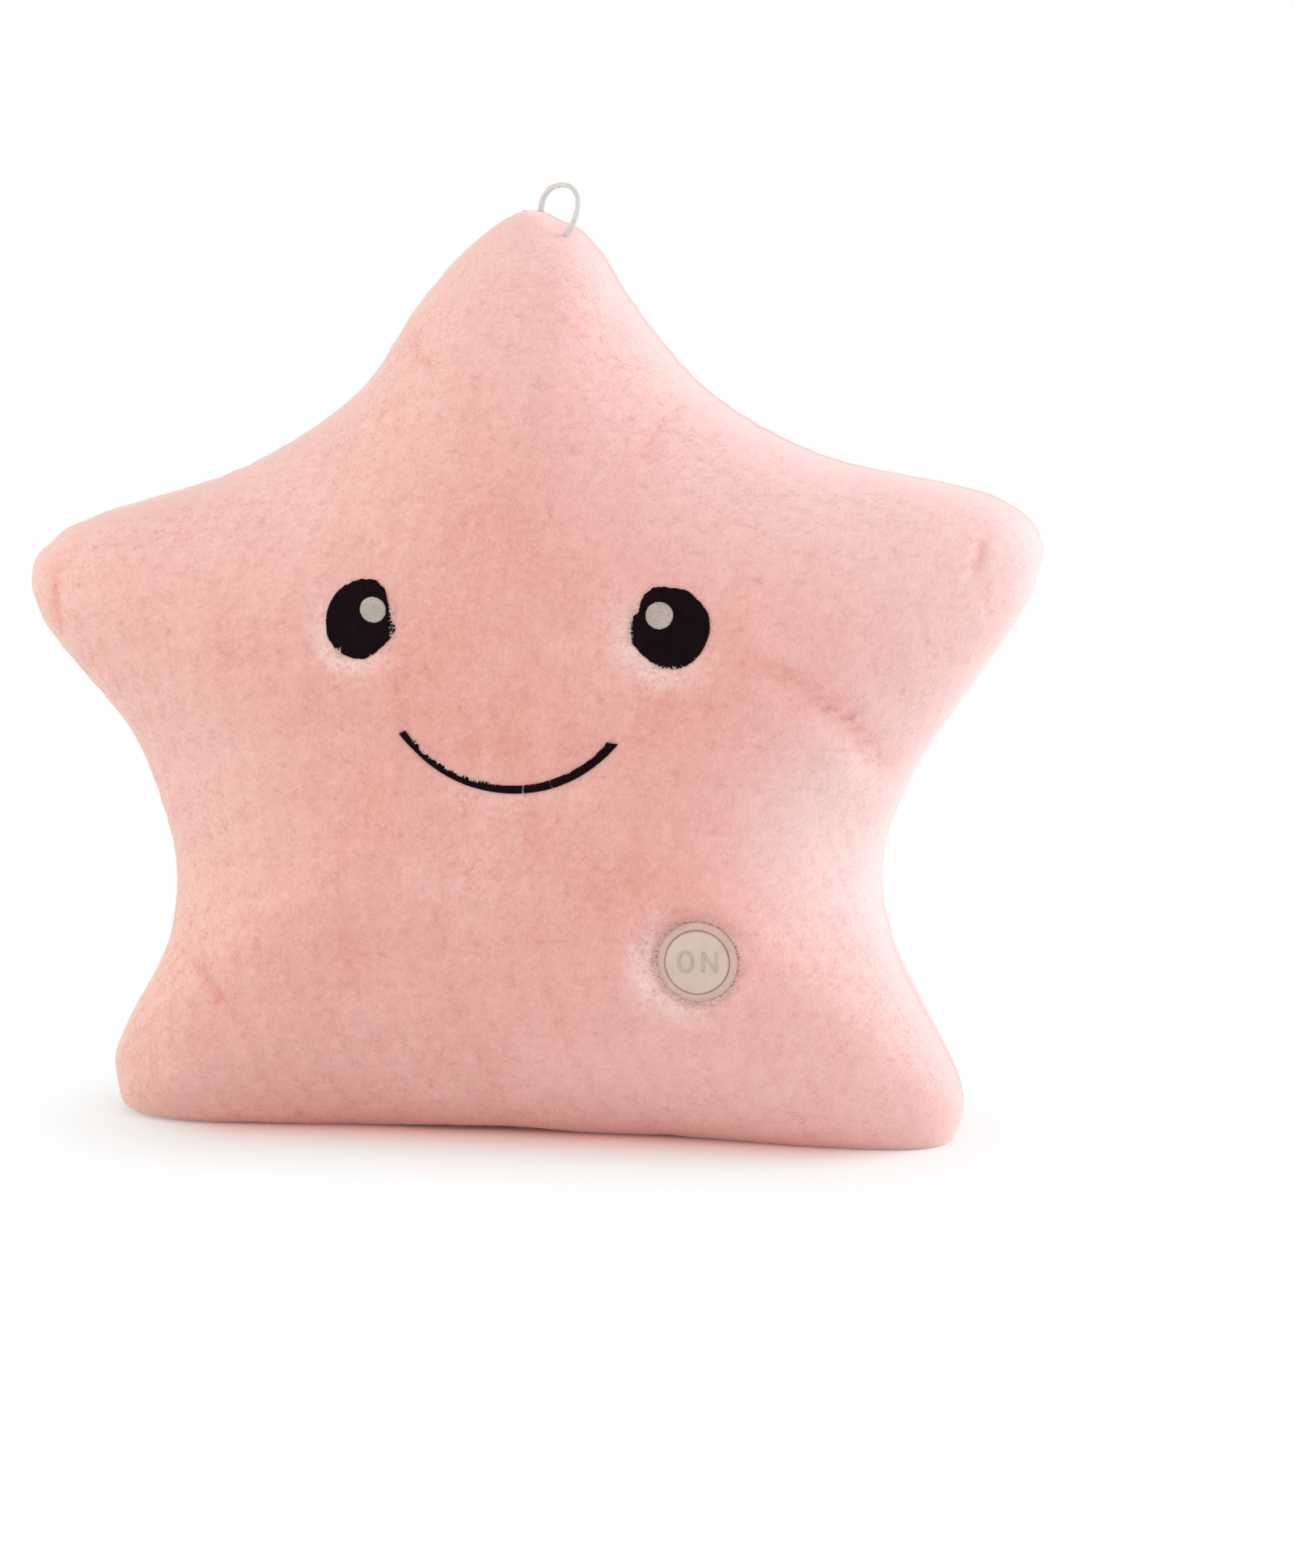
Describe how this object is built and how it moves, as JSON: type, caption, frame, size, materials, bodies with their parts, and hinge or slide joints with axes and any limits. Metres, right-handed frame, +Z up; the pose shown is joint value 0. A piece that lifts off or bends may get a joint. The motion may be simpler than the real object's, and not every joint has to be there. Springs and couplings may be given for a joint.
{
  "type": "plush night light",
  "caption": "Star-shaped plush night light with an embroidered face, a push button, a hanging loop and a battery case behind a zip.",
  "frame": {"origin": "on the ground under the middle of the star, in the seam plane, without the hanging loop", "axes": "+X to the viewers right when the face is seen, -Y the way the face looks, +Z up"},
  "size_m": [0.364, 0.1098, 0.3396],
  "materials": {
    "plush": "matte",
    "stuffing": "matte",
    "black_thread": "satin",
    "pale_thread": "satin",
    "button_plastic": "satin",
    "bezel_plastic": "satin",
    "white_plastic": "satin",
    "black_plastic": "satin",
    "board": "satin",
    "zip_cloth": "matte",
    "zip_teeth": "gloss",
    "zip_metal": "polished",
    "contact_metal": "polished",
    "cell_wrap": "gloss",
    "lining": "matte",
    "bulb_resin": "gloss",
    "diffuser": "matte",
    "lead_cover": "satin",
    "loop_filament": "gloss"
  },
  "bodies": {
    "pillow": {"front_panel": "plush", "back_panel_left": "plush", "back_panel_right": "plush", "left_eye": "black_thread", "right_eye": "black_thread", "smile": "black_thread", "left_eye_glint": "pale_thread", "right_eye_glint": "pale_thread", "hang_loop": "loop_filament", "stuffing_body": "stuffing", "stuffing_top_point": "stuffing", "stuffing_right_point": "stuffing", "stuffing_right_foot": "stuffing", "stuffing_left_foot": "stuffing", "stuffing_left_point": "stuffing", "button_bezel": "bezel_plastic", "button_housing": "white_plastic", "battery_case": "white_plastic", "case_base": "white_plastic", "switch_board": "board", "circuit_board": "board", "switch_body": "black_plastic", "controller_chip": "black_plastic", "switch_lead": "lead_cover", "lamp_lead_1": "lead_cover", "lamp_lead_2": "lead_cover", "lamp_lead_3": "lead_cover", "lamp_lead_4": "lead_cover", "lamp_lead_5": "lead_cover", "zip_tape_left": "zip_cloth", "zip_tape_right": "zip_cloth", "zip_teeth_left": "zip_teeth", "zip_teeth_right": "zip_teeth", "zip_bottom_stop": "zip_metal", "pocket_lining": "lining", "battery_contact_negative": "contact_metal", "battery_link_upper": "contact_metal", "battery_link_lower": "contact_metal", "battery_contact_positive": "contact_metal", "battery_1": "cell_wrap", "battery_2": "cell_wrap", "battery_3": "cell_wrap", "lamp_1": "bulb_resin", "lamp_2": "bulb_resin", "lamp_3": "bulb_resin", "lamp_4": "bulb_resin", "lamp_5": "bulb_resin", "lamp_cap_1": "diffuser", "lamp_cap_2": "diffuser", "lamp_cap_3": "diffuser", "lamp_cap_4": "diffuser", "lamp_cap_5": "diffuser"},
    "push_button": {"button_cap": "button_plastic", "switch_stem": "black_plastic"},
    "zip_slider": {"zip_slider_outer": "zip_metal", "zip_slider_inner": "zip_metal"},
    "zip_pull": {"zip_pull": "zip_metal"},
    "battery_lid": {"battery_lid": "white_plastic"}
  },
  "joints": [
    {"name": "button_press", "type": "slide", "parent": "pillow", "child": "push_button", "axis": [0, 1, 0], "range_m": [0, 0.0012], "stiffness_N_per_m": 1500},
    {"name": "zip_slide", "type": "slide", "parent": "pillow", "child": "zip_slider", "axis": [0, 0, -1], "range_m": [0, 0.089]},
    {"name": "zip_pull_swing", "type": "hinge", "parent": "zip_slider", "child": "zip_pull", "pos_m": [0, 0.05317, 0.19195], "axis": [1, 0, 0], "range_deg": [0, 150]},
    {"name": "battery_lid_slide", "type": "slide", "parent": "pillow", "child": "battery_lid", "axis": [0, 0, -1], "range_m": [0, 0.008]}
  ]
}
